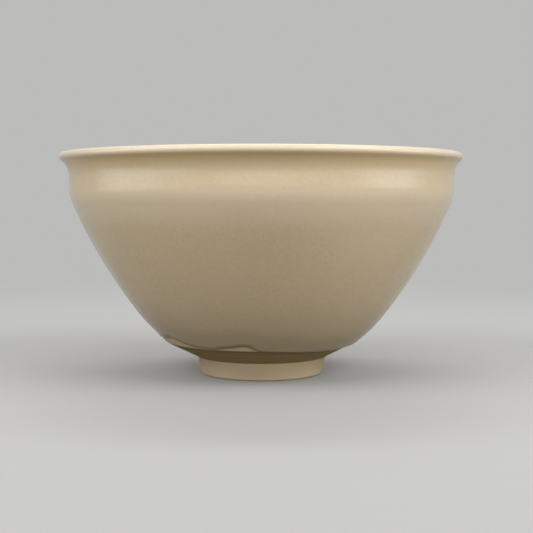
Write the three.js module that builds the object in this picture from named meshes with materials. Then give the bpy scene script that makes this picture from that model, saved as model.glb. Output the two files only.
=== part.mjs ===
// Tea bowl in the tenmoku form: a thrown clay body on a foot ring, with a poured glaze inside
// and a dipped glaze over the lip and outside. Millimetres, +Z up. The origin lies on the
// bowl's axis, in the plane that the foot rests on. Bearing 0 is -Y, and +X is at 90 degrees.
import * as THREE from 'three';

// Overall sizes, over the glaze
const RIM_DIAMETER = 122;
const BOWL_HEIGHT = 67.5;

// Foot ring
const FOOT_DIAMETER = 36.6;
const FOOT_FLARE = 1.2;
const FOOT_HEIGHT = 5.2;
const FOOT_WALL = 5.3;
const FOOT_ROUNDING = 0.5;
const RECESS_DEPTH = 2.8;

// Clay body, from the bevel above the foot to the lip
const BEVEL_WIDTH = 9.7;
const BEVEL_RISE = 4.75;
const WAIST_SLOPE = 44.5;
const WAIST_PULL = 21.4;
const SHOULDER_ROUNDING = 14;
const SHOULDER_TURN = 19;
const SHOULDER_PULL = 4.7;
const UPRIGHT_LENGTH = 2.8;
const NECK_DROP = 6.7;
const NECK_INSET = 2.66;
const NECK_PULL = 3.4;
const LIP_SLOPE = 40;
const LIP_PULL = 0.9;
const LIP_THICKNESS = 1.4;
const SHOULDER_THICKNESS = 3;
const WAIST_THICKNESS = 4.6;
const FLOOR_THICKNESS = 5.2;
const FLOOR_EDGE_PULL = 6;
const FLOOR_FLAT_RADIUS = 12;

// Glaze coats
const GLAZE_THICKNESS = 0.45;
const POOL_DEPTH = 0.5;
const POOL_RADIUS = 16;
const EDGE_RISE = 0.5;
const EDGE_ROLL = 0.7;
const EDGE_ROLL_LENGTH = 3;
const LAP_LENGTH = 3.5;

// Two bare marks where fingers held the bowl: bearing and widths in degrees, rise in millimetres
const FINGER_MARKS = [
  { bearing: -55, rise: 3.7, leftWidth: 15, rightWidth: 12 },
  { bearing: -8.5, rise: 2.2, leftWidth: 10, rightWidth: 4.6 },
];

// Clearances between a coat and the clay, between the two coats, and between ring and body
const BOND_GAP = 0.15;
const LAP_GAP = 0.2;
const SEAT_GAP = 0.15;

// Fineness: facets in a turn, and steps along each stretch of the clay's glazed surface
const TURN_FACETS = 60;
const STEPS = { wall: 7, shoulder: 2, upright: 1, flare: 4, lip: 6, floor: 5, edge: 3, nose: 4 };

// Places that several pieces share
const COAT = BOND_GAP + GLAZE_THICKNESS;
const footRadius = FOOT_DIAMETER / 2;
const footTopRadius = footRadius + FOOT_FLARE;
const boreRadius = footRadius - FOOT_WALL;
const floorHeight = RECESS_DEPTH + FLOOR_THICKNESS;
const lipEdgeRadius = RIM_DIAMETER / 2 - COAT;
const crownHeight = BOWL_HEIGHT - COAT;
const waist = new THREE.Vector2(footTopRadius + BEVEL_WIDTH, FOOT_HEIGHT + BEVEL_RISE);
const neck = new THREE.Vector2(lipEdgeRadius - NECK_INSET, crownHeight - NECK_DROP);
const shoulder = new THREE.Vector2(neck.x, neck.y - UPRIGHT_LENGTH);

// A point at a distance from another one, in a direction given in degrees above the horizontal
function polar(from, degrees, distance) {
  const angle = THREE.MathUtils.degToRad(degrees);
  return new THREE.Vector2(Math.cos(angle), Math.sin(angle)).multiplyScalar(distance).add(from);
}

// An arc of the section, between two directions in degrees
function arc(centre, radius, fromDegrees, toDegrees) {
  const from = THREE.MathUtils.degToRad(fromDegrees);
  const to = THREE.MathUtils.degToRad(toDegrees);
  return new THREE.EllipseCurve(centre.x, centre.y, radius, radius, from, to);
}

// The inner face of a stretch of wall, run from its top down, square to the outer face
class InnerFace extends THREE.Curve {
  constructor(outerFace, lowThickness, highThickness) {
    super();
    this.outerFace = outerFace;
    this.lowThickness = lowThickness;
    this.highThickness = highThickness;
  }

  getPoint(t, target = new THREE.Vector2()) {
    const along = 1 - t;
    const taper = THREE.MathUtils.smoothstep(along, 0, 1);
    const thickness = THREE.MathUtils.lerp(this.lowThickness, this.highThickness, taper);
    const outer = this.outerFace.getPoint(along);
    const direction = this.outerFace.getTangent(along);
    return target.set(outer.x - direction.y * thickness, outer.y + direction.x * thickness);
  }
}

// The clay's glazed surface, as one path from the waist up to the lip and down to the floor's centre
function glazedSurface() {
  const lipRadius = LIP_THICKNESS / 2;
  const lipCentre = new THREE.Vector2(lipEdgeRadius - lipRadius, crownHeight - lipRadius);
  const lipStart = polar(lipCentre, LIP_SLOPE - 90, lipRadius);
  const roundingCentre = polar(shoulder, 180, SHOULDER_ROUNDING);
  const roundingStart = polar(roundingCentre, -SHOULDER_TURN, SHOULDER_ROUNDING);
  const wall = new THREE.CubicBezierCurve(
    waist,
    polar(waist, WAIST_SLOPE, WAIST_PULL),
    polar(roundingStart, -SHOULDER_TURN - 90, SHOULDER_PULL),
    roundingStart,
  );
  const rounding = arc(roundingCentre, SHOULDER_ROUNDING, -SHOULDER_TURN, 0);
  const upright = new THREE.LineCurve(shoulder, neck);
  const flare = new THREE.CubicBezierCurve(
    neck,
    polar(neck, 90, NECK_PULL),
    polar(lipStart, LIP_SLOPE + 180, LIP_PULL),
    lipStart,
  );
  const lip = arc(lipCentre, lipRadius, LIP_SLOPE - 90, LIP_SLOPE + 90);
  const innerFlare = new InnerFace(flare, SHOULDER_THICKNESS, LIP_THICKNESS);
  const innerUpright = new InnerFace(upright, SHOULDER_THICKNESS, SHOULDER_THICKNESS);
  const innerRounding = new InnerFace(rounding, SHOULDER_THICKNESS, SHOULDER_THICKNESS);
  const innerWall = new InnerFace(wall, WAIST_THICKNESS, SHOULDER_THICKNESS);
  const floorEdge = innerWall.getPoint(1);
  const floor = new THREE.CubicBezierCurve(
    floorEdge,
    polar(floorEdge, WAIST_SLOPE + 180, FLOOR_EDGE_PULL),
    new THREE.Vector2(FLOOR_FLAT_RADIUS, floorHeight),
    new THREE.Vector2(0, floorHeight),
  );
  return [
    { curve: wall, steps: STEPS.wall },
    { curve: rounding, steps: STEPS.shoulder },
    { curve: upright, steps: STEPS.upright },
    { curve: flare, steps: STEPS.flare },
    { curve: lip, steps: STEPS.lip, lapAfter: LAP_LENGTH },
    { curve: innerFlare, steps: STEPS.flare },
    { curve: innerUpright, steps: STEPS.upright },
    { curve: innerRounding, steps: STEPS.shoulder },
    { curve: innerWall, steps: STEPS.wall },
    { curve: floor, steps: STEPS.floor },
  ];
}

const stretches = glazedSurface();
const surface = new THREE.CurvePath();
for (const { curve } of stretches) surface.add(curve);
const surfaceLength = surface.getLength();

// Distances along the glazed surface at which it is faceted, and the lap where the two coats meet
const stations = [0];
let lapPlace = 0;
for (const { curve, steps, lapAfter } of stretches) {
  const start = stations.at(-1);
  const lengths = curve.getLengths(steps);
  for (const length of lengths.slice(1)) {
    stations.push(start + (length / lengths.at(-1)) * curve.getLength());
  }
  if (lapAfter) lapPlace = stations.at(-1) + lapAfter;
}

// A point of the section, at a distance along the glazed surface and a height off the clay
function onSurface(distance, height) {
  const along = Math.min(distance / surfaceLength, 1);
  const point = surface.getPoint(along);
  const direction = surface.getTangent(along);
  return new THREE.Vector2(point.x + direction.y * height, point.y - direction.x * height);
}

// A full turn of a section about the bowl's axis
function turned(section) {
  return new THREE.LatheGeometry(section, TURN_FACETS).rotateX(Math.PI / 2);
}

// A full turn of a closed section that changes with its bearing
function turnedByBearing(sectionAt) {
  const positions = [];
  const indices = [];
  let count = 0;
  for (let facet = 0; facet < TURN_FACETS; facet++) {
    const bearing = (facet / TURN_FACETS) * 360;
    const angle = THREE.MathUtils.degToRad(bearing);
    const section = sectionAt(bearing);
    count = section.length;
    for (const { x, y } of section) {
      positions.push(x * Math.sin(angle), -x * Math.cos(angle), y);
    }
  }
  for (let facet = 0; facet < TURN_FACETS; facet++) {
    const here = facet * count;
    const next = ((facet + 1) % TURN_FACETS) * count;
    for (let i = 0; i < count; i++) {
      const j = (i + 1) % count;
      indices.push(here + i, next + i, next + j);
      indices.push(here + i, next + j, here + j);
    }
  }
  const geometry = new THREE.BufferGeometry();
  geometry.setAttribute('position', new THREE.Float32BufferAttribute(positions, 3));
  geometry.setIndex(indices);
  geometry.computeVertexNormals();
  return geometry;
}

// Thrown body: floor, wall and lip, with a boss below that centres the foot ring
function clayBody() {
  const bossRadius = boreRadius - SEAT_GAP;
  const section = [
    new THREE.Vector2(0, RECESS_DEPTH),
    new THREE.Vector2(bossRadius, RECESS_DEPTH),
    new THREE.Vector2(bossRadius, FOOT_HEIGHT),
    new THREE.Vector2(footTopRadius, FOOT_HEIGHT),
  ];
  for (const distance of stations.slice(0, -1)) section.push(onSurface(distance, 0));
  section.push(new THREE.Vector2(0, floorHeight));
  return turned(section);
}

// Foot ring round the boss, with rounded edges at its resting face
function footRing() {
  const topHeight = FOOT_HEIGHT - SEAT_GAP;
  const bevel = FOOT_ROUNDING * (1 - Math.SQRT1_2);
  const section = [
    new THREE.Vector2(boreRadius + FOOT_ROUNDING, 0),
    new THREE.Vector2(footRadius - FOOT_ROUNDING, 0),
    new THREE.Vector2(footRadius - bevel, bevel),
    new THREE.Vector2(footRadius, FOOT_ROUNDING),
    new THREE.Vector2(footTopRadius, topHeight),
    new THREE.Vector2(boreRadius, topHeight),
    new THREE.Vector2(boreRadius, FOOT_ROUNDING),
    new THREE.Vector2(boreRadius + bevel, bevel),
  ];
  section.push(section[0].clone());
  return turned(section);
}

// Poured coat inside, from the lap below the lip to a pool on the floor
function innerGlaze() {
  const start = lapPlace + LAP_GAP / 2;
  const places = [start, ...stations.slice(0, -1).filter((distance) => distance > start + LAP_GAP)];
  const clayFace = places.map((distance) => onSurface(distance, BOND_GAP));
  const openFace = places.map((distance) => {
    const radius = onSurface(distance, 0).x;
    const pool = 1 - THREE.MathUtils.smoothstep(radius, 0, POOL_RADIUS);
    return onSurface(distance, COAT + POOL_DEPTH * pool);
  });
  const section = [
    new THREE.Vector2(0, floorHeight + BOND_GAP),
    ...clayFace.reverse(),
    ...openFace,
    new THREE.Vector2(0, floorHeight + COAT + POOL_DEPTH),
  ];
  return turned(section);
}

// How far up the wall the outer coat stops at a bearing, measured along the wall from the waist
function edgePlace(bearing) {
  let place = EDGE_RISE;
  for (const mark of FINGER_MARKS) {
    const offset = THREE.MathUtils.euclideanModulo(bearing - mark.bearing + 180, 360) - 180;
    const width = offset < 0 ? mark.leftWidth : mark.rightWidth;
    place += mark.rise * Math.exp(-((offset / width) ** 2));
  }
  return place;
}

// Dipped coat outside: a rounded, slightly thicker lower edge, the wall, the lip, and the lap inside
function outerGlaze() {
  const highestEdge = EDGE_RISE + Math.max(...FINGER_MARKS.map((mark) => mark.rise));
  const edgeZone = highestEdge + EDGE_ROLL + EDGE_ROLL_LENGTH;
  const end = lapPlace - LAP_GAP / 2;
  const fixedPlaces = stations.filter((distance) => distance > edgeZone && distance < end - LAP_GAP);
  fixedPlaces.push(end);
  return turnedByBearing((bearing) => {
    const edge = edgePlace(bearing);
    const noseRadius = EDGE_ROLL / 2;
    const noseCentre = edge + noseRadius;
    const places = [];
    for (let step = 0; step < STEPS.edge; step++) {
      places.push(THREE.MathUtils.lerp(noseCentre, edgeZone, step / STEPS.edge));
    }
    places.push(...fixedPlaces);
    const clayFace = places.map((distance) => onSurface(distance, BOND_GAP));
    const openFace = places.map((distance) => {
      const rollEnd = noseCentre + EDGE_ROLL_LENGTH;
      const roll = 1 - THREE.MathUtils.smoothstep(distance, noseCentre, rollEnd);
      return onSurface(distance, BOND_GAP + THREE.MathUtils.lerp(GLAZE_THICKNESS, EDGE_ROLL, roll));
    });
    const nose = [];
    for (let step = 1; step < STEPS.nose; step++) {
      const turn = (step / STEPS.nose) * Math.PI;
      const place = noseCentre - noseRadius * Math.sin(turn);
      nose.push(onSurface(place, BOND_GAP + noseRadius * (1 - Math.cos(turn))));
    }
    return [...clayFace.reverse(), ...nose, ...openFace];
  });
}

// Matte buff clay and cream satin glaze
const clayLook = { color: 0xd6c7ab, roughness: 0.85, metalness: 0 };
const glazeLook = { color: 0xc9b795, roughness: 0.3, metalness: 0 };

const pieces = [
  { name: 'clay_body', geometry: clayBody(), look: clayLook },
  { name: 'foot_ring', geometry: footRing(), look: clayLook },
  { name: 'inner_glaze', geometry: innerGlaze(), look: glazeLook },
  { name: 'outer_glaze', geometry: outerGlaze(), look: glazeLook },
];

const bowl = new THREE.Group();
for (const { name, geometry, look } of pieces) {
  const mesh = new THREE.Mesh(geometry, new THREE.MeshStandardMaterial(look));
  mesh.name = name;
  bowl.add(mesh);
}

export default bowl;
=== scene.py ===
"""Dresses the tea bowl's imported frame: the thrown clay, its foot ring and the two coats of glaze.

All places are in metres in the frame's own axes: +Z up the bowl's axis, -Y towards the finger
marks. A bearing is measured from -Y towards +X. A section is drawn as points of radius and height.
"""
import math

import bmesh
import bpy
import numpy as np
from bpy.props import FloatProperty, FloatVectorProperty, IntProperty, PointerProperty
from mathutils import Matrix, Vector


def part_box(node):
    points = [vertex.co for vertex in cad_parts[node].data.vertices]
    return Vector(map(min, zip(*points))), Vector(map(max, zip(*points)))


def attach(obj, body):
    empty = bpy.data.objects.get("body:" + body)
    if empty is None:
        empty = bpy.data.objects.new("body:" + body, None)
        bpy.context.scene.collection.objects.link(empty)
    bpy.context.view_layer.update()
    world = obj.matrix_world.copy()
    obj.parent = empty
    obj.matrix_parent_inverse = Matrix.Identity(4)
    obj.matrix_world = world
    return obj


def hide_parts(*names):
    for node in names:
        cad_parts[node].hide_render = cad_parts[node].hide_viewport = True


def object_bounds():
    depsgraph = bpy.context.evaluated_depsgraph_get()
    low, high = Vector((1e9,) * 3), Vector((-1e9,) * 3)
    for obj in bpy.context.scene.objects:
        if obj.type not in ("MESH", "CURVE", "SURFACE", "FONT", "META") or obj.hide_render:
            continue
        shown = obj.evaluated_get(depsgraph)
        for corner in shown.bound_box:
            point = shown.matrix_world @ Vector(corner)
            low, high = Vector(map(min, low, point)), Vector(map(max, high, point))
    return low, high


bl_info = {
    "name": "Tea bowl",
    "version": (1, 0, 0),
    "blender": (4, 5, 0),
    "location": "3D View > Sidebar > Tea bowl",
    "description": "Models a glazed tea bowl on a bare foot ring, and a plain studio stage",
    "category": "Add Mesh",
}

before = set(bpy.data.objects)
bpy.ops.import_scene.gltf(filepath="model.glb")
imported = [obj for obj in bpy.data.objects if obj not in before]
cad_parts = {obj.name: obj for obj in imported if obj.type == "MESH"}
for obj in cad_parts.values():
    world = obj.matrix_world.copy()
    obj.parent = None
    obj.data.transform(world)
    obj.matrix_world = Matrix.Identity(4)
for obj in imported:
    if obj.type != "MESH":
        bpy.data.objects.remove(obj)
CAD_LOW, CAD_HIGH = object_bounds()
CLAY_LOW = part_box("clay_body")[0]
MM = 0.001
BODY = "root"
ABOVE_EDGE = "above_edge"
SHADOW_UNDER_EDGE = "under_edge"
SHARP_ANGLE = math.radians(40.0)
FEWEST_FACES = 100
CORNER_PULL = 0.6

# Where the outer coat stops: bearing in degrees, and millimetres above the waist along the wall.
# It is bare at a thumb's mark near -54 and a fingertip's near -8, and hangs over the waist near 40.
EDGE_LINE = (
    (-150.0, 0.9), (-120.0, 1.3), (-95.0, 1.5), (-80.0, 2.2), (-70.0, 3.0), (-64.5, 3.45), (-57.5, 4.1),
    (-54.0, 3.8), (-51.0, 3.3), (-48.5, 2.6), (-46.2, 1.85), (-43.5, 1.45), (-40.8, 1.2), (-38.0, 0.95),
    (-35.2, 0.85), (-31.2, 0.8), (-27.5, 0.6), (-23.5, 0.95), (-19.8, 1.35), (-15.2, 1.7), (-12.8, 2.1),
    (-10.8, 2.4), (-8.5, 2.4), (-6.5, 2.1), (-4.2, 1.35), (-2.2, 0.55), (0.0, 0.2), (5.0, 0.0),
    (10.8, -0.3), (16.8, -0.6), (23.2, -1.1), (30.0, -1.3), (38.2, -1.85), (47.0, -1.95), (56.2, -1.4),
    (70.0, -0.6), (90.0, 0.1), (120.0, 0.8), (150.0, 0.4), (180.0, 0.5),
)

# How far the thrown body strays to the right of its axis: height and offset in millimetres.
SWAY = ((6.0, 0.0), (9.5, -0.22), (14.0, 0.15), (30.0, 0.15), (45.0, 0.03), (60.0, 0.0), (67.0, -0.25))

# Where the outer glaze changes its tint, in millimetres of height or radius, or up from its edge. A pair
# says where a change starts and is complete; a band starts, is full, starts to fade and ends.
# Darker towards the waist: partly glaze gathered there, partly painted shade.
GATHERED_AND_SHADED = (27.0, 9.0)
# Deeper tint on the neck: painted shade.
SHADED_NECK_BAND = (57.5, 61.5, 63.0, 64.5)
# Paler band on the shoulder: painted light.
LIT_SHOULDER_BAND = (44.0, 51.0, 54.5, 58.0)
# Warmer tint in the hollow under the lip: partly the glaze's own tint, partly painted shade.
SHADED_HOLLOW_BAND = (61.8, 64.0, 65.2, 66.0)
# Where the lip turns paler: glaze running thin, and a painted highlight.
LIP_HEIGHTS = (64.2, 65.5)
LIP_RADII = (57.0, 59.0)
# Dark line along the outer coat's lower edge: partly a darker line of glaze, partly painted shade of its
# rolled edge.
EDGE_SHADE_LINE = (0.2, 2.0)

# The floor, in metres: its radius, where it fades into the background, and its opening under the foot.
FLOOR_RADIUS = 8.0
FLOOR_FADE = (0.10, 0.42)
FLOOR_OPENING = 17.6 * MM

# The lamps: name, setting that holds the power, bearing and rise in degrees, reach and size in metres,
# and whether they light all, only matte surfaces, or only show in gloss. They face a point on the axis.
ALL, MATTE, GLOSS = "all", "matte", "gloss"
LAMP_TARGET = (0.0, 0.0, 0.04)
LAMPS = (
    ("front_softbox", "front", 4.0, 12.0, 0.80, (1.30, 0.36), ALL),
    ("key_softbox", "key", 74.0, 7.0, 0.72, (0.50, 0.36), MATTE),
    ("fill_softbox", "fill", -70.0, 4.0, 0.72, (0.50, 0.36), MATTE),
    ("left_wing", "left_wing", -54.0, 38.0, 0.90, (0.80, 0.40), ALL),
    ("right_wing", "right_wing", 54.0, 38.0, 0.90, (0.80, 0.40), ALL),
    ("high_softbox", "high", 0.0, 66.0, 0.80, (0.60, 0.40), ALL),
    ("back_softbox", "back", 180.0, 10.0, 0.80, (0.70, 0.40), MATTE),
    ("top_softbox", "top", 180.0, 62.0, 0.70, (0.60, 0.10), ALL),
    ("left_card", "left_card", -72.0, 6.0, 0.36, (0.22, 0.22), GLOSS),
    ("left_panel", "left_panel", -68.0, 6.0, 0.38, (0.50, 0.24), GLOSS),
    ("right_card", "right_card", 75.0, 6.0, 0.70, (0.42, 0.42), GLOSS),
    ("right_panel", "right_panel", 72.0, 6.0, 0.74, (1.00, 0.44), GLOSS),
)


# Properties

def length(name, description, default):
    """A size in metres, with its default given in millimetres."""
    return FloatProperty(name=name, description=description, default=default * MM, unit="LENGTH")


def angle(name, description, default):
    """An angle, with its default given in degrees."""
    return FloatProperty(name=name, description=description, default=math.radians(default), subtype="ANGLE")


def colour(name, description, default):
    """A linear colour."""
    return FloatVectorProperty(
        name=name, description=description, default=default, size=3, min=0.0, max=1.0, subtype="COLOR"
    )


def share(name, description, default):
    """A plain factor."""
    return FloatProperty(name=name, description=description, default=default, subtype="FACTOR")


def power(name, description, default):
    """A lamp's power in watts."""
    return FloatProperty(name=name, description=description, default=default, unit="POWER")


class TeaBowlClay(bpy.types.PropertyGroup):
    """Sizes of the thrown body and its foot ring"""

    rim_diameter: length("Rim diameter", "Across the lip, over the glaze", (CAD_HIGH.x - CAD_LOW.x) / MM)
    height: length("Height", "From the table to the top of the lip, over the glaze", CAD_HIGH.z / MM - 0.3)
    recess_depth: length("Recess depth", "Height of the hollow inside the foot", CLAY_LOW.z / MM)
    foot_diameter: length("Foot diameter", "Across the resting face's outer edge", 36.95)
    foot_flare: length("Foot flare", "How much wider the foot's radius is at its top", 1.25)
    foot_height: length("Foot height", "From the table to the bevel", 5.32)
    foot_wall: length("Foot wall", "Width of the resting ring", 5.3)
    foot_rounding: length("Foot rounding", "Radius of the resting ring's edges", 0.65)
    bevel_width: length("Bevel width", "Reach of the turned bevel from the foot to the waist", 9.65)
    bevel_rise: length("Bevel rise", "Rise of the turned bevel", 4.88)
    groove_depth: length("Groove depth", "Depth of the lines that the turning tool left on the bevel", 0.09)
    waist_rounding: length("Waist rounding", "Softness of the edge between bevel and wall", 0.35)
    waist_slope: angle("Waist slope", "Slope of the wall where it leaves the waist", 44.5)
    waist_pull: length("Waist pull", "How far the wall keeps that slope", 21.3)
    shoulder_rounding: length("Shoulder rounding", "Radius where the wall turns upright", 12.75)
    shoulder_turn: angle("Shoulder turn", "How much of the turn is round", 21.0)
    shoulder_pull: length("Shoulder pull", "How far the wall keeps its slope below the shoulder", 5.94)
    upright_length: length("Upright length", "Height of the upright band below the neck", 2.95)
    neck_drop: length("Neck drop", "From the crown of the lip down to the neck", 6.42)
    neck_inset: length("Neck inset", "From the edge of the lip in to the neck", 2.69)
    neck_pull: length("Neck pull", "How far the neck stays upright", 3.5)
    lip_slope: angle("Lip slope", "Slope of the wall where it meets the lip", 43.3)
    lip_pull: length("Lip pull", "How far the lip keeps that slope", 1.08)
    lip_thickness: length("Lip thickness", "Thickness of the clay at the lip", 1.23)
    shoulder_thickness: length("Shoulder thickness", "Thickness of the clay at the shoulder", 3.0)
    waist_thickness: length("Waist thickness", "Thickness of the clay at the waist", 4.6)
    floor_thickness: length("Floor thickness", "Thickness of the clay above the recess", 5.2)
    floor_edge_pull: length("Floor edge pull", "How far the floor's edge keeps the wall's slope", 6.0)
    floor_flat_radius: length("Floor flat radius", "Radius of the level part of the floor", 12.0)


class TeaBowlGlaze(bpy.types.PropertyGroup):
    """Sizes of the two glaze coats and their edges"""

    coat: length("Coat", "Thickness of a coat on the wall", 0.6)
    edge: length("Edge", "Thickness of the outer coat at its lower edge", 0.28)
    edge_reach: length("Edge reach", "How far up the outer coat takes to its full thickness", 9.0)
    nose: length("Nose", "Rounding of a coat's edge", 0.08)
    pool_depth: length("Pool depth", "Extra thickness of the inner coat on the floor", 0.5)
    pool_radius: length("Pool radius", "Radius of the thicker glaze on the floor", 16.0)
    lap_length: length("Lap length", "How far the outer coat comes down inside the lip", 3.5)
    lap_ridge: length("Lap ridge", "How much thicker the coats are where they overlap", 0.12)


class TeaBowlFinish(bpy.types.PropertyGroup):
    """Colours of the finishes, and how finely the pieces are turned"""

    glaze: colour("Glaze", "Cream glaze at its usual thickness", (0.645, 0.515, 0.345))
    glaze_deep: colour("Deep glaze", "Cream glaze where it lies thicker", (0.565, 0.465, 0.30))
    # Deeper tint: glaze gathered at the waist and pooled on the floor inside, and painted shade low on the
    # wall and on the neck.
    glaze_pooled_and_shade: colour("Edge glaze", "Cream glaze that gathers towards its lower edge", (0.475, 0.38, 0.235))
    # Warmer tint in the hollow under the lip: partly the glaze's own tint, partly painted shade.
    glaze_hollow_shade: colour("Hollow glaze", "Cream glaze in the hollow under the lip", (0.80, 0.57, 0.22))
    # Paler tint: glaze running thin over the lip with a painted highlight there, and painted light on the
    # shoulder.
    glaze_thin_and_lit: colour("Lip glaze", "Cream glaze where it runs thin over the lip", (0.71, 0.61, 0.46))
    # Dark line along the outer coat's lower edge: partly a darker line of glaze, partly painted shade of its
    # rolled edge.
    glaze_line_and_shade: colour("Edge line", "Thin toasted line where the glaze ends", (0.25, 0.175, 0.08))
    clay: colour("Clay", "Bare fired clay", (0.79, 0.675, 0.475))
    clay_deep: colour("Deep clay", "Bare clay in its darker patches", (0.715, 0.60, 0.405))
    # Painted shade: the bevel under the waist is set dark and warm.
    clay_bevel_shade: colour("Bevel clay", "Bare clay under the waist, toasted by the fire", (0.455, 0.36, 0.175))
    # Painted shadow on the bare clay just under the outer coat's edge.
    clay_shadow_line: colour("Clay line", "Bare clay just under the outer coat's edge", (0.10, 0.07, 0.035))
    # The foot below its top is set darker than the body's clay.
    clay_foot: colour("Foot clay", "Bare clay of the foot, darker from handling", (0.61, 0.485, 0.335))
    speck: colour("Speck", "Iron specks in the clay", (0.40, 0.29, 0.18))
    floor: colour("Floor", "Studio floor", (0.44, 0.44, 0.435))
    floor_bounce: colour("Floor bounce", "Floor as light bounces off it to the bowl", (0.095, 0.078, 0.05))
    background: colour("Background", "Studio background", (0.50, 0.50, 0.495))
    columns: IntProperty(name="Columns", description="Facets in a full turn", default=240, min=24, max=400)


class TeaBowlStage(bpy.types.PropertyGroup):
    """The camera and the studio light"""

    camera_distance: length("Camera distance", "From the bowl's axis to the camera", 337.44)
    camera_height: length("Camera height", "From the table to the camera", 52.33)
    camera_pitch: angle("Camera pitch", "How far the camera looks down", 3.335)
    camera_yaw: angle("Camera yaw", "How far the camera looks to the right", 0.246)
    lens: FloatProperty(name="Lens", description="Focal length", default=74.05, subtype="DISTANCE_CAMERA")
    dome: share("Dome", "Light from the plain surroundings", 0.4)
    dome_colour: colour("Dome colour", "Colour of that light", (1.0, 0.985, 0.96))
    front: power("Front", "Wide low softbox in front", 2.0)
    key: power("Key", "Low softbox on the right", 1.1)
    fill: power("Fill", "Low softbox on the left", 0.75)
    left_wing: power("Left wing", "Higher softbox at the left", 3.3)
    right_wing: power("Right wing", "Higher softbox at the right", 3.8)
    high: power("High", "Softbox high in front", 0.9)
    back: power("Back", "Softbox behind", 3.0)
    top: power("Top", "Narrow softbox behind and above", 1.2)
    left_card: power("Left card", "Card at the left that only shows in gloss", 0.15)
    left_panel: power("Left panel", "Wide card at the left that only shows in gloss", 0.46)
    right_card: power("Right card", "Card at the right that only shows in gloss", 0.95)
    right_panel: power("Right panel", "Wide card at the right that only shows in gloss", 1.28)


# Section of the bowl

class Line:
    """A line of the section, measured along itself."""

    def __init__(self, *stretches):
        points = list(stretches[0])
        for stretch in stretches[1:]:
            points.extend(stretch[1:])
        self.radii = np.array([point.x for point in points])
        self.heights = np.array([point.y for point in points])
        steps = np.hypot(np.diff(self.radii), np.diff(self.heights))
        self.places = np.concatenate(([0.0], np.cumsum(steps)))
        self.length = float(self.places[-1])

    def at(self, place):
        """The point at a distance along the line."""
        radius = np.interp(place, self.places, self.radii)
        height = np.interp(place, self.places, self.heights)
        return Vector((float(radius), float(height)))

    def rows(self, *bands):
        """Points along the line; each band gives where it ends and how far apart its points are."""
        points = [self.at(0.0)]
        start = 0.0
        for end, spacing in bands:
            end = min(end, self.length)
            count = max(1, round((end - start) / spacing))
            points.extend(self.at(start + (end - start) * (i + 1) / count) for i in range(count))
            start = end
        return points


def polar(origin, direction, reach):
    """A point in the section, in a direction and at a reach from another."""
    return origin + Vector((math.cos(direction), math.sin(direction))) * reach


def straight(start, end, count):
    """Points on a straight stretch."""
    return [start.lerp(end, i / count) for i in range(count + 1)]


def arc(centre, radius, first, last, count):
    """Points on a round stretch."""
    return [polar(centre, first + (last - first) * i / count, radius) for i in range(count + 1)]


def curve(start, start_pull, end_pull, end, count):
    """Points on a cubic stretch."""
    points = []
    for i in range(count + 1):
        t = i / count
        u = 1.0 - t
        points.append(start * u**3 + start_pull * (3 * u * u * t) + end_pull * (3 * u * t * t) + end * t**3)
    return points


def smooth_step(value):
    """Eases a value from 0 to 1."""
    value = min(max(value, 0.0), 1.0)
    return value * value * (3.0 - 2.0 * value)


def inner_face(outer, low_thickness, high_thickness):
    """The inner face of a stretch of wall, from its top down, square to the outer face."""
    points = []
    last = len(outer) - 1
    for i, point in enumerate(outer):
        along = (outer[min(i + 1, last)] - outer[max(i - 1, 0)]).normalized()
        thickness = low_thickness + (high_thickness - low_thickness) * smooth_step(i / last)
        points.append(point + Vector((-along.y, along.x)) * thickness)
    return points[::-1]


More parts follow.
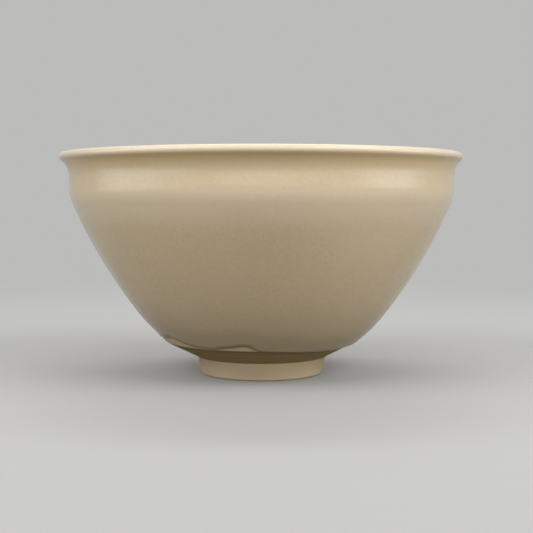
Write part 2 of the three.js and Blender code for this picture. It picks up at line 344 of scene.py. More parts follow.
def clay_section(clay, coat):
    """The stretches of the clay's section, by name, from the foot's top round to the floor's centre."""
    foot_top = Vector((clay.foot_diameter / 2 + clay.foot_flare, clay.foot_height))
    waist = foot_top + Vector((clay.bevel_width, clay.bevel_rise))
    lip_radius = clay.lip_thickness / 2
    edge_radius = clay.rim_diameter / 2 - coat
    crown = clay.height - coat
    lip_centre = Vector((edge_radius - lip_radius, crown - lip_radius))
    lip_first = clay.lip_slope - math.pi / 2
    lip_start = polar(lip_centre, lip_first, lip_radius)
    neck = Vector((edge_radius - clay.neck_inset, crown - clay.neck_drop))
    shoulder = neck - Vector((0.0, clay.upright_length))
    turn_centre = shoulder - Vector((clay.shoulder_rounding, 0.0))
    turn_start = polar(turn_centre, -clay.shoulder_turn, clay.shoulder_rounding)
    wall = curve(
        waist,
        polar(waist, clay.waist_slope, clay.waist_pull),
        polar(turn_start, -clay.shoulder_turn - math.pi / 2, clay.shoulder_pull),
        turn_start,
        count=240,
    )
    turn = arc(turn_centre, clay.shoulder_rounding, -clay.shoulder_turn, 0.0, count=24)
    upright = straight(shoulder, neck, count=8)
    flare = curve(
        neck,
        neck + Vector((0.0, clay.neck_pull)),
        polar(lip_start, clay.lip_slope + math.pi, clay.lip_pull),
        lip_start,
        count=48,
    )
    inner_wall = inner_face(wall, clay.waist_thickness, clay.shoulder_thickness)
    floor_height = clay.recess_depth + clay.floor_thickness
    floor = curve(
        inner_wall[-1],
        polar(inner_wall[-1], clay.waist_slope + math.pi, clay.floor_edge_pull),
        Vector((clay.floor_flat_radius, floor_height)),
        Vector((0.0, floor_height)),
        count=80,
    )
    bevel_line = Line(straight(foot_top, waist, count=2))
    wall_line = Line(wall)
    corner_start = bevel_line.at(bevel_line.length - clay.waist_rounding)
    corner_end = wall_line.at(clay.waist_rounding)
    corner = curve(
        corner_start,
        corner_start.lerp(waist, CORNER_PULL),
        corner_end.lerp(waist, CORNER_PULL),
        corner_end,
        count=12,
    )
    trimmed_wall = [corner_end] + [point for point in wall if point.y > corner_end.y + 1e-6]
    return {
        "bevel": straight(foot_top, corner_start, count=60),
        "corner": corner,
        "wall": trimmed_wall,
        "turn": turn,
        "upright": upright,
        "flare": flare,
        "lip": arc(lip_centre, lip_radius, lip_first, lip_first + math.pi, count=32),
        "inner flare": inner_face(flare, clay.shoulder_thickness, clay.lip_thickness),
        "inner upright": inner_face(upright, clay.shoulder_thickness, clay.shoulder_thickness),
        "inner turn": inner_face(turn, clay.shoulder_thickness, clay.shoulder_thickness),
        "inner wall": inner_wall,
        "floor": floor,
    }


def chosen(section, *names):
    """Some of the section's stretches as one line."""
    return Line(*(section[name] for name in names))


# Modelling

def in_front(point):
    """A point of the section at bearing 0."""
    return Vector((0.0, -point.x, point.y))


def draw_section(name, points):
    """Starts a piece as one point in edit mode and extrudes it along its section."""
    bpy.ops.object.select_all(action="DESELECT")
    bpy.ops.mesh.primitive_plane_add(size=MM)
    piece = bpy.context.active_object
    piece.name = name
    piece.data.name = name
    bpy.ops.object.mode_set(mode="EDIT")
    bpy.ops.mesh.select_all(action="SELECT")
    bpy.ops.mesh.merge(type="CENTER")
    bpy.ops.transform.translate(value=in_front(points[0]))
    for start, end in zip(points, points[1:]):
        bpy.ops.mesh.extrude_region_move(TRANSFORM_OT_translate={"value": in_front(end) - in_front(start)})
    return piece


def turn_section(columns):
    """Spins the drawn section about the bowl's axis and closes its seam and poles."""
    bpy.ops.mesh.select_all(action="SELECT")
    bpy.ops.mesh.spin(steps=columns, angle=math.tau, center=(0.0, 0.0, 0.0), axis=(0.0, 0.0, 1.0))
    bpy.ops.mesh.select_all(action="SELECT")
    bpy.ops.mesh.remove_doubles(threshold=0.002 * MM)
    bpy.ops.mesh.normals_make_consistent(inside=False)


def face_outwards(piece):
    """Turns the faces of an open coat away from the bowl's axis."""
    mesh = bmesh.from_edit_mesh(piece.data)
    outwards = 0.0
    for face in mesh.faces:
        middle = face.calc_center_median()
        outwards += (face.normal.x * middle.x + face.normal.y * middle.y) * face.calc_area()
    if outwards < 0.0:
        bpy.ops.mesh.select_all(action="SELECT")
        bpy.ops.mesh.flip_normals()


def apply_modifier(piece, kind, **settings):
    """Adds a modifier with its settings and applies it."""
    bpy.ops.object.modifier_add(type=kind)
    modifier = piece.modifiers[-1]
    for name, value in settings.items():
        setattr(modifier, name, value)
    bpy.ops.object.modifier_apply(modifier=modifier.name)


def finish_piece(piece, node, material):
    """Shades a piece smooth, gives it its finish and ties it to the frame."""
    bpy.ops.object.mode_set(mode="OBJECT")
    bpy.ops.object.shade_smooth_by_angle(angle=SHARP_ANGLE)
    piece.data.materials.clear()
    piece.data.materials.append(material)
    if len(piece.data.polygons) < FEWEST_FACES:
        raise RuntimeError(f"{piece.name} came out with too few faces")
    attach(piece, BODY)
    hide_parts(node)


def sway(piece):
    """Moves each height of the body a little off the axis, as it strays when thrown by hand."""
    bpy.ops.object.mode_set(mode="EDIT")
    mesh = bmesh.from_edit_mesh(piece.data)
    heights, offsets = zip(*SWAY)
    for vertex in mesh.verts:
        vertex.co.x += float(np.interp(vertex.co.z / MM, heights, offsets)) * MM
    bmesh.update_edit_mesh(piece.data)
    bpy.ops.object.mode_set(mode="OBJECT")


def bearing_of(place):
    """Bearing of a place round the bowl, in radians, from -Y towards +X."""
    return math.atan2(place.x, -place.y)


def edge_height(bearing):
    """How far above the waist, along the wall, the outer coat stops; evened out over two degrees."""
    bearings, heights = zip(*EDGE_LINE)
    near = math.degrees(bearing) + np.linspace(-1.0, 1.0, 5)
    return float(np.mean(np.interp(near, bearings, heights, period=360.0))) * MM


def thicken(piece, weights, thickest, outwards):
    """Gives an open coat its thickness, vertex by vertex."""
    group = piece.vertex_groups.new(name="thickness")
    for index, weight in enumerate(weights):
        group.add([index], weight / thickest, "REPLACE")
    apply_modifier(
        piece,
        "SOLIDIFY",
        thickness=thickest,
        offset=1.0 if outwards else -1.0,
        vertex_group=group.name,
        use_even_offset=True,
        use_quality_normals=True,
    )


# Materials

def node_in(tree, kind, **settings):
    """A node in a tree, with its own settings."""
    node = tree.nodes.new(kind)
    for name, value in settings.items():
        setattr(node, name, value)
    return node


def math_node(tree, operation, first, second, clamp=False):
    """A sum on two sockets or numbers."""
    node = node_in(tree, "ShaderNodeMath", operation=operation, use_clamp=clamp)
    for socket, value in zip(node.inputs, (first, second)):
        if isinstance(value, (int, float)):
            socket.default_value = value
        else:
            tree.links.new(value, socket)
    return node.outputs["Value"]


def weighed_sum(tree, first, first_weight, second, second_weight):
    """Two values added, each by its weight."""
    return math_node(
        tree,
        "ADD",
        math_node(tree, "MULTIPLY", first, first_weight),
        math_node(tree, "MULTIPLY", second, second_weight),
    )


def noise(tree, vector, scale, detail=2.0, roughness=0.5):
    """Noise between 0 and 1."""
    node = node_in(tree, "ShaderNodeTexNoise")
    tree.links.new(vector, node.inputs["Vector"])
    if isinstance(scale, (int, float)):
        node.inputs["Scale"].default_value = scale
    else:
        tree.links.new(scale, node.inputs["Scale"])
    node.inputs["Detail"].default_value = detail
    node.inputs["Roughness"].default_value = roughness
    return node.outputs["Fac"]


def ramp(tree, value, low, high, first=0.0, last=1.0):
    """Eases a value from one range into another."""
    node = node_in(tree, "ShaderNodeMapRange", interpolation_type="SMOOTHSTEP")
    tree.links.new(value, node.inputs["Value"])
    node.inputs["From Min"].default_value = low
    node.inputs["From Max"].default_value = high
    node.inputs["To Min"].default_value = first
    node.inputs["To Max"].default_value = last
    return node.outputs["Result"]


def blend_colour(tree, factor, first, second):
    """Two colours blended by a factor."""
    node = node_in(tree, "ShaderNodeMix", data_type="RGBA")
    for socket, value in ((node.inputs[0], factor), (node.inputs[6], first), (node.inputs[7], second)):
        if isinstance(value, (int, float)):
            socket.default_value = value
        elif isinstance(value, bpy.types.NodeSocket):
            tree.links.new(value, socket)
        else:
            socket.default_value = (*value, 1.0)
    return node.outputs[2]


def ease(tree, value, edges, first=0.0, last=1.0):
    """Eases a value between two edges in millimetres."""
    return ramp(tree, value, edges[0] * MM, edges[1] * MM, first, last)


def band(tree, value, edges, most):
    """Rises between the first two edges and falls between the last two, in millimetres."""
    rise = ease(tree, value, edges[:2], last=most)
    fall = ease(tree, value, edges[2:], first=1.0, last=0.0)
    return math_node(tree, "MULTIPLY", rise, fall)


def round_places(tree, vector):
    """Radius of each place from the bowl's axis, and the node that splits the place into X, Y and Z."""
    parts = node_in(tree, "ShaderNodeSeparateXYZ")
    tree.links.new(vector, parts.inputs[0])
    x = parts.outputs["X"]
    y = parts.outputs["Y"]
    return math_node(tree, "SQRT", weighed_sum(tree, x, x, y, y), 0.0), parts


def start_group(name, inputs, outputs):
    """An empty node group with its sockets."""
    group = bpy.data.node_groups.new(name, "ShaderNodeTree")
    for socket_name, kind, default in inputs:
        socket = group.interface.new_socket(name=socket_name, in_out="INPUT", socket_type=kind)
        if default is not None:
            socket.default_value = default
    for socket_name, kind in outputs:
        group.interface.new_socket(name=socket_name, in_out="OUTPUT", socket_type=kind)
    return group, group.nodes.new("NodeGroupInput").outputs, group.nodes.new("NodeGroupOutput").inputs


def mottling_group():
    """Broad patches and fine grain between two colours."""
    if "mottling" in bpy.data.node_groups:
        return bpy.data.node_groups["mottling"]
    group, given, result = start_group(
        "mottling",
        [
            ("Vector", "NodeSocketVector", None),
            ("Pale", "NodeSocketColor", None),
            ("Deep", "NodeSocketColor", None),
            ("Patch scale", "NodeSocketFloat", 60.0),
            ("Patch amount", "NodeSocketFloat", 1.0),
            ("Grain scale", "NodeSocketFloat", 2500.0),
            ("Grain amount", "NodeSocketFloat", 0.5),
        ],
        [("Colour", "NodeSocketColor"), ("Mask", "NodeSocketFloat")],
    )
    broad = noise(group, given["Vector"], given["Patch scale"], detail=3.0)
    patches = math_node(group, "SUBTRACT", broad, 0.5)
    fine = noise(group, given["Vector"], given["Grain scale"], detail=3.0, roughness=0.7)
    grain = math_node(group, "SUBTRACT", fine, 0.5)
    both = weighed_sum(group, patches, given["Patch amount"], grain, given["Grain amount"])
    mask = math_node(group, "ADD", both, 0.5, clamp=True)
    group.links.new(blend_colour(group, mask, given["Pale"], given["Deep"]), result["Colour"])
    group.links.new(mask, result["Mask"])
    return group


def turning_group():
    """Fine lines round the bowl's axis, as a tool or a finger leaves them on the wheel."""
    if "turning_lines" in bpy.data.node_groups:
        return bpy.data.node_groups["turning_lines"]
    group, given, result = start_group(
        "turning_lines",
        [
            ("Vector", "NodeSocketVector", None),
            ("Lines in a metre", "NodeSocketFloat", 2000.0),
            ("Waver", "NodeSocketFloat", 12.0),
        ],
        [("Height", "NodeSocketFloat")],
    )
    radius, parts = round_places(group, given["Vector"])
    across = math_node(group, "ADD", radius, math_node(group, "MULTIPLY", parts.outputs["Z"], 0.9))
    place = node_in(group, "ShaderNodeCombineXYZ")
    group.links.new(math_node(group, "MULTIPLY", across, given["Lines in a metre"]), place.inputs["X"])
    group.links.new(math_node(group, "MULTIPLY", parts.outputs["X"], given["Waver"]), place.inputs["Y"])
    group.links.new(math_node(group, "MULTIPLY", parts.outputs["Y"], given["Waver"]), place.inputs["Z"])
    lines = noise(group, place.outputs["Vector"], scale=1.0, detail=3.0, roughness=0.6)
    group.links.new(lines, result["Height"])
    return group


def place_group(tree, group, **values):
    """Places a node group in a material with its own values; underscores stand for spaces."""
    node = node_in(tree, "ShaderNodeGroup", node_tree=group)
    for name, value in values.items():
        socket = node.inputs[name.replace("_", " ")]
        if isinstance(value, bpy.types.NodeSocket):
            tree.links.new(value, socket)
        elif isinstance(value, (int, float)):
            socket.default_value = value
        else:
            socket.default_value = (*value, 1.0)
    return node.outputs


def start_material(name):
    """A material with its tree, its shader and the piece's own places."""
    material = bpy.data.materials.new(name)
    material.use_nodes = True
    tree = material.node_tree
    shader = tree.nodes["Principled BSDF"]
    places = node_in(tree, "ShaderNodeTexCoord").outputs["Object"]
    return material, tree, shader.inputs, places


def add_bump(tree, shader, height, depth):
    """Raises a surface by a height between 0 and 1, at a depth in millimetres."""
    bump = node_in(tree, "ShaderNodeBump")
    bump.inputs["Strength"].default_value = 1.0
    bump.inputs["Distance"].default_value = depth * MM
    tree.links.new(height, bump.inputs["Height"])
    tree.links.new(bump.outputs["Normal"], shader["Normal"])


def clay_material(finish, clay):
    """Bare fired clay: matte and buff, with grain, specks and turning lines, painted shade on the bevel and
    a painted shadow under the coat's edge.
    """
    if "fired_clay" in bpy.data.materials:
        return bpy.data.materials["fired_clay"]
    material, tree, shader, places = start_material("fired_clay")
    mottling = place_group(
        tree,
        mottling_group(),
        Vector=places,
        Pale=finish.clay,
        Deep=finish.clay_deep,
        Patch_scale=120.0,
        Patch_amount=1.1,
        Grain_scale=3200.0,
        Grain_amount=0.9,
    )
    height = round_places(tree, places)[1].outputs["Z"]
    waist = clay.foot_height + clay.bevel_rise
    waist_blur = 0.6 * MM
    # Painted shade on the bevel under the waist.
    painted_shade = ramp(tree, height, waist, waist - waist_blur, last=0.9)
    coloured = blend_colour(tree, painted_shade, mottling["Colour"], finish.clay_bevel_shade)
    foot_blur = 0.2 * MM
    # The foot below its top is set darker than the body's clay.
    foot_tint = ramp(tree, height, clay.foot_height + foot_blur, clay.foot_height - foot_blur, last=0.85)
    coloured = blend_colour(tree, foot_tint, coloured, finish.clay_foot)
    # Painted shadow on the bare clay just under the outer coat's edge.
    dark = node_in(tree, "ShaderNodeAttribute", attribute_name=SHADOW_UNDER_EDGE).outputs["Fac"]
    coloured = blend_colour(tree, dark, coloured, finish.clay_shadow_line)
    specks = ramp(tree, noise(tree, places, scale=2200.0, detail=1.0), low=0.68, high=0.80, last=0.35)
    tree.links.new(blend_colour(tree, specks, coloured, finish.speck), shader["Base Color"])
    matte = ramp(tree, mottling["Mask"], low=0.0, high=1.0, first=0.78, last=0.92)
    tree.links.new(matte, shader["Roughness"])
    shader["Specular IOR Level"].default_value = 0.05
    lines = place_group(tree, turning_group(), Vector=places, Lines_in_a_metre=2600.0, Waver=30.0)
    grain = noise(tree, places, scale=5200.0)
    add_bump(tree, shader, weighed_sum(tree, lines["Height"], 0.65, grain, 0.35), depth=0.012)
    return material


def glaze_material(finish, glaze, inside):
    """Cream satin glaze: clouded, tinted by where it lies, with a softly waved skin. Outside, several tints
    are painted shade and painted light.
    """
    name = "cream_glaze_inside" if inside else "cream_glaze_outside"
    if name in bpy.data.materials:
        return bpy.data.materials[name]
    material, tree, shader, places = start_material(name)
    radius, parts = round_places(tree, places)
    mottling = place_group(
        tree,
        mottling_group(),
        Vector=places,
        Pale=finish.glaze,
        Deep=finish.glaze_deep,
        Patch_scale=38.0,
        Patch_amount=1.5,
        Grain_scale=900.0,
        Grain_amount=2.0,
    )
    base = mottling["Colour"]
    height = parts.outputs["Z"]
    if inside:
        pool = ramp(tree, radius, glaze.pool_radius * 1.15, glaze.pool_radius * 0.3, last=0.7)
        base = blend_colour(tree, pool, base, finish.glaze_pooled_and_shade)
    else:
        # Darker towards the waist: partly glaze gathered there, partly painted shade.
        gathered = ease(tree, height, GATHERED_AND_SHADED, last=0.8)
        base = blend_colour(tree, gathered, base, finish.glaze_pooled_and_shade)
        # Deeper tint on the neck: painted shade.
        neck = band(tree, height, SHADED_NECK_BAND, most=0.3)
        base = blend_colour(tree, neck, base, finish.glaze_pooled_and_shade)
        # Paler band on the shoulder: painted light.
        shoulder = band(tree, height, LIT_SHOULDER_BAND, most=0.5)
        base = blend_colour(tree, shoulder, base, finish.glaze_thin_and_lit)
        above = node_in(tree, "ShaderNodeAttribute", attribute_name=ABOVE_EDGE).outputs["Fac"]
        # Dark line along the outer coat's lower edge: partly a darker line of glaze, partly painted shade of
        # its rolled edge.
        painted_shade = ease(tree, above, EDGE_SHADE_LINE, first=1.0, last=0.0)
        base = blend_colour(tree, painted_shade, base, finish.glaze_line_and_shade)
        # Paler lip: glaze running thin over it, and a painted highlight.
        high = ease(tree, height, LIP_HEIGHTS)
        outside = ease(tree, radius, LIP_RADII)
        thin = math_node(tree, "MULTIPLY", high, outside)
        base = blend_colour(tree, thin, base, finish.glaze_thin_and_lit)
        # Warmer tint in the hollow under the lip: partly the glaze's own tint, partly painted shade.
        warm = band(tree, height, SHADED_HOLLOW_BAND, most=0.4)
        hollow = math_node(tree, "MULTIPLY", warm, outside)
        base = blend_colour(tree, hollow, base, finish.glaze_hollow_shade)
    tree.links.new(base, shader["Base Color"])
    satin = ramp(tree, mottling["Mask"], low=0.0, high=1.0, first=0.17, last=0.22)
    tree.links.new(satin, shader["Roughness"])
    shader["IOR"].default_value = 1.46
    lines = place_group(tree, turning_group(), Vector=places, Lines_in_a_metre=220.0, Waver=14.0)
    skin = noise(tree, places, scale=1500.0)
    add_bump(tree, shader, weighed_sum(tree, lines["Height"], 0.7, skin, 0.45), depth=0.05)
    return material


def stage_rays(tree):
    """1 for the rays that should see the stage's pale colour: from the camera, gloss and glass."""
    path = node_in(tree, "ShaderNodeLightPath").outputs
    first = math_node(tree, "MAXIMUM", path["Is Camera Ray"], path["Is Glossy Ray"])
    return math_node(tree, "MAXIMUM", first, path["Is Transmission Ray"])


def mixed_shaders(tree, factor, first, second):
    """Two shaders mixed by a factor."""
    node = node_in(tree, "ShaderNodeMixShader")
    tree.links.new(factor, node.inputs[0])
    tree.links.new(first, node.inputs[1])
    tree.links.new(second, node.inputs[2])
    return node.outputs["Shader"]


def floor_material(finish):
    """Pale floor that keeps the bowl's shadow, fades into the background and is open under the foot."""
    material = bpy.data.materials.new("studio_floor")
    material.use_nodes = True
    tree = material.node_tree
    tree.nodes.remove(tree.nodes["Principled BSDF"])
    places = node_in(tree, "ShaderNodeTexCoord").outputs["Object"]
    radius, _ = round_places(tree, places)
    pale = node_in(tree, "ShaderNodeBsdfDiffuse")
    pale.inputs["Color"].default_value = (*finish.floor, 1.0)
    dark = node_in(tree, "ShaderNodeBsdfDiffuse")
    dark.inputs["Color"].default_value = (*finish.floor_bounce, 1.0)
    far = node_in(tree, "ShaderNodeEmission")
    far.inputs["Color"].default_value = (*finish.background, 1.0)
    under = node_in(tree, "ShaderNodeBsdfTransparent")
    seen = mixed_shaders(tree, ramp(tree, radius, *FLOOR_FADE), pale.outputs[0], far.outputs[0])
    lit = mixed_shaders(tree, stage_rays(tree), dark.outputs[0], seen)
    backfacing = node_in(tree, "ShaderNodeNewGeometry").outputs["Backfacing"]
    under_foot = math_node(tree, "LESS_THAN", radius, FLOOR_OPENING)
    opened = math_node(tree, "MAXIMUM", backfacing, under_foot)
    whole = mixed_shaders(tree, opened, lit, under.outputs[0])
    tree.links.new(whole, tree.nodes["Material Output"].inputs["Surface"])
    return material


# Operators

class TEABOWL_OT_clay_body(bpy.types.Operator):
    """Turn the clay body, from the recess under it to the lip and back to the floor inside"""

    bl_idname = "tea_bowl.clay_body"
    bl_label = "Clay body"

    def execute(self, context):
        scene = context.scene
        clay = scene.tea_bowl_clay
        finish = scene.tea_bowl_finish
        section = clay_section(clay, scene.tea_bowl_glaze.coat)
        bore = clay.foot_diameter / 2 - clay.foot_wall
        fillet = 1.1 * MM
        tucked = 0.6 * MM
        sunk = 0.3 * MM
        fillet_centre = Vector((bore - fillet, clay.recess_depth - fillet))
        recess = straight(Vector((0.0, clay.recess_depth)), Vector((bore - fillet, clay.recess_depth)), 10)
        recess += arc(fillet_centre, fillet, math.pi / 2, 0.0, 6)[1:]
        hidden = [
            Vector((bore + tucked, clay.recess_depth - fillet)),
            Vector((bore + tucked, clay.foot_height - sunk)),
            Vector((clay.foot_diameter / 2, clay.foot_height - sunk)),
        ]
        bevel = self.grooved(section["bevel"], clay.groove_depth)
        glazed = chosen(
            section, "wall", "turn", "upright", "flare", "lip",
            "inner flare", "inner upright", "inner turn", "inner wall", "floor",
        )
        points = recess + hidden + bevel + section["corner"][1:]
        points += glazed.rows((6 * MM, 0.5 * MM), (glazed.length, 1.1 * MM))[1:]
        piece = draw_section("thrown_clay", points)
        turn_section(finish.columns)
        self.mark_painted_shadow(piece, section)
        sway(piece)
        finish_piece(piece, "clay_body", clay_material(finish, clay))
        return {"FINISHED"}

    def mark_painted_shadow(self, piece, section):
        """Marks a painted shadow on the clay just under the coat's edge."""
        outside = Line(section["bevel"], section["corner"], section["wall"])
        waist = Line(section["bevel"]).length + Line(section["corner"]).length / 2
        highest = outside.at(waist + 1.0 * MM).y
        soft = 0.2 * MM
        full = 0.3 * MM
        fading = 1.8 * MM
        darkest = 0.55
        mesh = bmesh.from_edit_mesh(piece.data)
        under_edge = mesh.verts.layers.float.new(SHADOW_UNDER_EDGE)
        for vertex in mesh.verts:
            if vertex.co.z < highest:
                bearing = bearing_of(vertex.co)
                place = float(np.interp(vertex.co.z, outside.heights, outside.places))
                below = waist + min(0.0, edge_height(bearing)) - place
                start = smooth_step((below + soft) / soft)
                fade = 1.0 - smooth_step((below - full) / fading)
                vertex[under_edge] = start * fade * darkest
        bmesh.update_edit_mesh(piece.data)

    def grooved(self, bevel, depth):
        """Sinks two shallow lines of the turning tool into the bevel."""
        along = (bevel[-1] - bevel[0]).normalized()
        inwards = Vector((-along.y, along.x))
        reach = (bevel[-1] - bevel[0]).length
        middles = (0.36 * reach, 0.66 * reach)
        width = 0.3 * MM
        points = []
        for point in bevel:
            place = (point - bevel[0]).length
            sink = sum(math.exp(-(((place - middle) / width) ** 2)) for middle in middles)
            points.append(point + inwards * depth * sink)
        return points


class TEABOWL_OT_foot_ring(bpy.types.Operator):
    """Turn the bare foot ring, with softened edges at its resting face"""

    bl_idname = "tea_bowl.foot_ring"
    bl_label = "Foot ring"

    def execute(self, context):
        scene = context.scene
        clay = scene.tea_bowl_clay
        finish = scene.tea_bowl_finish
        outer = clay.foot_diameter / 2
        bore = outer - clay.foot_wall
        soft = clay.foot_rounding
        buried = 0.25 * MM
        top = clay.foot_height + buried
        top_radius = outer + clay.foot_flare * (top / clay.foot_height)
        outside = straight(Vector((outer, soft)), Vector((top_radius, top)), 12)
        inside = straight(Vector((bore, top)), Vector((bore, soft)), 8)
        points = straight(Vector((bore + soft, 0.0)), Vector((outer - soft, 0.0)), 8)
        points += arc(Vector((outer - soft, soft)), soft, -math.pi / 2, 0.0, 6)[1:-1]
        points += outside + inside
        points += arc(Vector((bore + soft, soft)), soft, math.pi, math.pi * 1.5, 6)[1:]
        piece = draw_section("turned_foot", points)
        turn_section(finish.columns)
        finish_piece(piece, "foot_ring", clay_material(finish, clay))
        return {"FINISHED"}


class TEABOWL_OT_inner_glaze(bpy.types.Operator):
    """Lay the poured coat inside, down to a shallow pool on the floor"""

    bl_idname = "tea_bowl.inner_glaze"
    bl_label = "Inner glaze"

    def execute(self, context):
        scene = context.scene
        glaze = scene.tea_bowl_glaze
        finish = scene.tea_bowl_finish
        section = clay_section(scene.tea_bowl_clay, glaze.coat)
        line = chosen(section, "inner flare", "inner upright", "inner turn", "inner wall", "floor")
        rows = line.rows((14 * MM, 0.7 * MM), (line.length, 1.0 * MM))
        piece = draw_section("poured_glaze", rows)
        turn_section(finish.columns)
        face_outwards(piece)
        bpy.ops.object.mode_set(mode="OBJECT")
        weights = [self.thickness(glaze, vertex.co, rows[0]) for vertex in piece.data.vertices]
        thicken(piece, weights, glaze.coat + glaze.pool_depth, outwards=False)
        sway(piece)
        finish_piece(piece, "inner_glaze", glaze_material(finish, glaze, inside=True))
        return {"FINISHED"}

    def thickness(self, glaze, place, top):
        """Thickness of the coat: thinner under the outer coat's lap, and deeper in the pool."""
        radius = math.hypot(place.x, place.y)
        lapped = 1.5 * MM
        under_lap = smooth_step((top.y - place.z) / lapped)
        pool = 1.0 - smooth_step(radius / glaze.pool_radius)
        return glaze.coat * (0.5 + 0.5 * under_lap) + glaze.pool_depth * pool


class TEABOWL_OT_outer_glaze(bpy.types.Operator):
    """Lay the dipped coat outside, from its wavy lower edge up over the lip"""

    bl_idname = "tea_bowl.outer_glaze"
    bl_label = "Outer glaze"

    def execute(self, context):
        scene = context.scene
        glaze = scene.tea_bowl_glaze
        finish = scene.tea_bowl_finish
        section = clay_section(scene.tea_bowl_clay, glaze.coat)
        bevel = Line(section["bevel"])
        overhang = 2.8 * MM
        steps = 16
        start = [bevel.at(bevel.length - overhang * (1.0 - i / steps)) for i in range(steps + 1)]
        outside = Line(start, section["corner"], section["wall"], section["turn"], section["upright"])
        lip = chosen(section, "flare", "lip")
        lap = chosen(section, "inner flare")
        rows = outside.rows(
            (5 * MM, 0.25 * MM), (14 * MM, 0.6 * MM), (47 * MM, 1.2 * MM), (outside.length, 0.6 * MM)
        )
        rows += lip.rows((5 * MM, 0.45 * MM), (lip.length, 0.16 * MM))[1:]
        rows += lap.rows((glaze.lap_length, 0.25 * MM))[1:]
        piece = draw_section("dipped_glaze", rows)
        turn_section(finish.columns)
        face_outwards(piece)
        waist = overhang + Line(section["corner"]).length / 2
        weights = self.slide_edge(piece, glaze, outside, waist, lap)
        bpy.ops.object.mode_set(mode="OBJECT")
        thicken(piece, weights, glaze.coat + glaze.lap_ridge, outwards=True)
        apply_modifier(
            piece,
            "BEVEL",
            width=glaze.nose,
            segments=4,
            limit_method="ANGLE",
            angle_limit=math.radians(50.0),
        )
        sway(piece)
        finish_piece(piece, "outer_glaze", glaze_material(finish, glaze, inside=False))
        return {"FINISHED"}

    def slide_edge(self, piece, glaze, outside, waist, lap):
        """Slides the coat's lower rows to its wavy edge, and returns each vertex's thickness."""
        zone = waist + 12.0 * MM
        lap_margin = 0.3 * MM
        ridge_height = 2.0 * MM
        lifted_from = 0.2 * MM
        lifted_over = 1.0 * MM
        zone_top = outside.at(zone).y
        lap_end = lap.at(glaze.lap_length)

        def lap_reach(height):
            return np.interp(height, lap.heights[::-1], lap.radii[::-1]) + lap_margin

        mesh = bmesh.from_edit_mesh(piece.data)
        above_edge = mesh.verts.layers.float.new(ABOVE_EDGE)
        weights = []
        for vertex in mesh.verts:
            thickness = glaze.coat
            vertex[above_edge] = zone
            radius = math.hypot(vertex.co.x, vertex.co.y)
            if vertex.co.z < zone_top:
                bearing = bearing_of(vertex.co)
                edge = waist + edge_height(bearing)
                place = float(np.interp(vertex.co.z, outside.heights, outside.places))
                place = edge + (zone - edge) * place / zone
                moved = outside.at(place)
                vertex.co = (moved.x * math.sin(bearing), -moved.x * math.cos(bearing), moved.y)
                # The painted shade line along the edge is half as wide where no finger lifted the edge.
                lifted = smooth_step((edge - waist - lifted_from) / lifted_over)
                vertex[above_edge] = (place - edge) * (2.0 - lifted)
                thinning = 1.0 - smooth_step((place - edge) / glaze.edge_reach)
                thickness += (glaze.edge - glaze.coat) * thinning
            elif vertex.co.z > lap_end.y - 0.1 * MM and radius < lap_reach(vertex.co.z):
                ridge = 1.0 - smooth_step((vertex.co.z - lap_end.y) / ridge_height)
                thickness += glaze.lap_ridge * ridge
            weights.append(thickness)
        bmesh.update_edit_mesh(piece.data)
        return weights


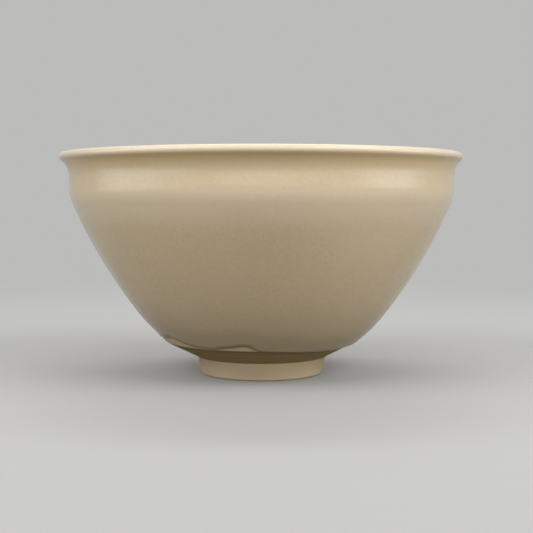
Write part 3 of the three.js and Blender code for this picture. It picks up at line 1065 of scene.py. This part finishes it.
class TEABOWL_OT_stage(bpy.types.Operator):
    """Set up the plain floor, the soft light and the camera"""

    bl_idname = "tea_bowl.stage"
    bl_label = "Stage"

    def execute(self, context):
        scene = context.scene
        stage = scene.tea_bowl_stage
        finish = scene.tea_bowl_finish
        self.lay_floor(finish)
        for name, setting, bearing, rise, reach, size, lights in LAMPS:
            self.add_lamp(name, bearing, rise, reach, size, getattr(stage, setting), lights)
        self.light_world(scene, finish, stage)
        bpy.ops.object.camera_add(
            location=(0.0, -stage.camera_distance, stage.camera_height),
            rotation=(math.pi / 2 - stage.camera_pitch, 0.0, -stage.camera_yaw),
        )
        camera = context.active_object
        camera.data.lens = stage.lens
        camera.data.sensor_width = 36.0
        camera.data.clip_start = 0.01
        camera.data.clip_end = 50.0
        scene.camera = camera
        scene.view_settings.view_transform = "Standard"
        return {"FINISHED"}

    def lay_floor(self, finish):
        """A wide floor in the plane that the foot rests on."""
        bpy.ops.object.select_all(action="DESELECT")
        bpy.ops.mesh.primitive_circle_add(vertices=96, radius=FLOOR_RADIUS, fill_type="TRIFAN")
        floor = bpy.context.active_object
        floor.name = "studio_floor"
        floor.data.materials.append(floor_material(finish))

    def add_lamp(self, name, bearing, rise, reach, size, watts, lights):
        """A softbox that faces the bowl from a bearing and a rise in degrees."""
        turn = math.radians(bearing)
        lift = math.radians(rise)
        away = Vector((math.sin(turn) * math.cos(lift), -math.cos(turn) * math.cos(lift), math.sin(lift)))
        facing = away.to_track_quat("Z", "Y").to_euler()
        bpy.ops.object.light_add(type="AREA", location=Vector(LAMP_TARGET) + away * reach, rotation=facing)
        lamp = bpy.context.active_object
        lamp.name = name
        lamp.data.shape = "RECTANGLE" if lights == GLOSS else "ELLIPSE"
        lamp.data.size = size[0]
        lamp.data.size_y = size[1]
        lamp.data.energy = watts
        lamp.visible_camera = False
        lamp.visible_diffuse = lights != GLOSS
        lamp.visible_glossy = lights != MATTE

    def light_world(self, scene, finish, stage):
        """Even light from all round, and the pale background that the camera sees."""
        world = bpy.data.worlds.new("studio_world")
        world.use_nodes = True
        tree = world.node_tree
        dome = tree.nodes["Background"]
        dome.inputs["Color"].default_value = (*stage.dome_colour, 1.0)
        dome.inputs["Strength"].default_value = stage.dome
        backdrop = node_in(tree, "ShaderNodeBackground")
        backdrop.inputs["Color"].default_value = (*finish.background, 1.0)
        mixed = mixed_shaders(tree, stage_rays(tree), dome.outputs[0], backdrop.outputs[0])
        tree.links.new(mixed, tree.nodes["World Output"].inputs["Surface"])
        scene.world = world


class VIEW3D_PT_tea_bowl(bpy.types.Panel):
    """Lists the bowl's pieces, sizes and colours"""

    bl_label = "Tea bowl"
    bl_idname = "VIEW3D_PT_tea_bowl"
    bl_space_type = "VIEW_3D"
    bl_region_type = "UI"
    bl_category = "Tea bowl"

    def draw(self, context):
        layout = self.layout
        for operator in OPERATORS:
            layout.operator(operator.bl_idname)
        for name in SETTINGS:
            box = layout.box()
            settings = getattr(context.scene, name)
            for prop in settings.bl_rna.properties:
                if prop.identifier not in ("rna_type", "name"):
                    box.prop(settings, prop.identifier)


OPERATORS = (
    TEABOWL_OT_clay_body,
    TEABOWL_OT_foot_ring,
    TEABOWL_OT_inner_glaze,
    TEABOWL_OT_outer_glaze,
    TEABOWL_OT_stage,
)
SETTINGS = {
    "tea_bowl_clay": TeaBowlClay,
    "tea_bowl_glaze": TeaBowlGlaze,
    "tea_bowl_finish": TeaBowlFinish,
    "tea_bowl_stage": TeaBowlStage,
}


def register():
    for name, settings in SETTINGS.items():
        bpy.utils.register_class(settings)
        setattr(bpy.types.Scene, name, PointerProperty(type=settings))
    for operator in OPERATORS:
        bpy.utils.register_class(operator)
    bpy.utils.register_class(VIEW3D_PT_tea_bowl)


def unregister():
    bpy.utils.unregister_class(VIEW3D_PT_tea_bowl)
    for operator in reversed(OPERATORS):
        bpy.utils.unregister_class(operator)
    for name, settings in reversed(SETTINGS.items()):
        delattr(bpy.types.Scene, name)
        bpy.utils.unregister_class(settings)


def main():
    """Builds every piece and the stage."""
    register()
    bpy.ops.tea_bowl.clay_body()
    bpy.ops.tea_bowl.foot_ring()
    bpy.ops.tea_bowl.inner_glaze()
    bpy.ops.tea_bowl.outer_glaze()
    bpy.ops.tea_bowl.stage()


if __name__ == "__main__":
    main()
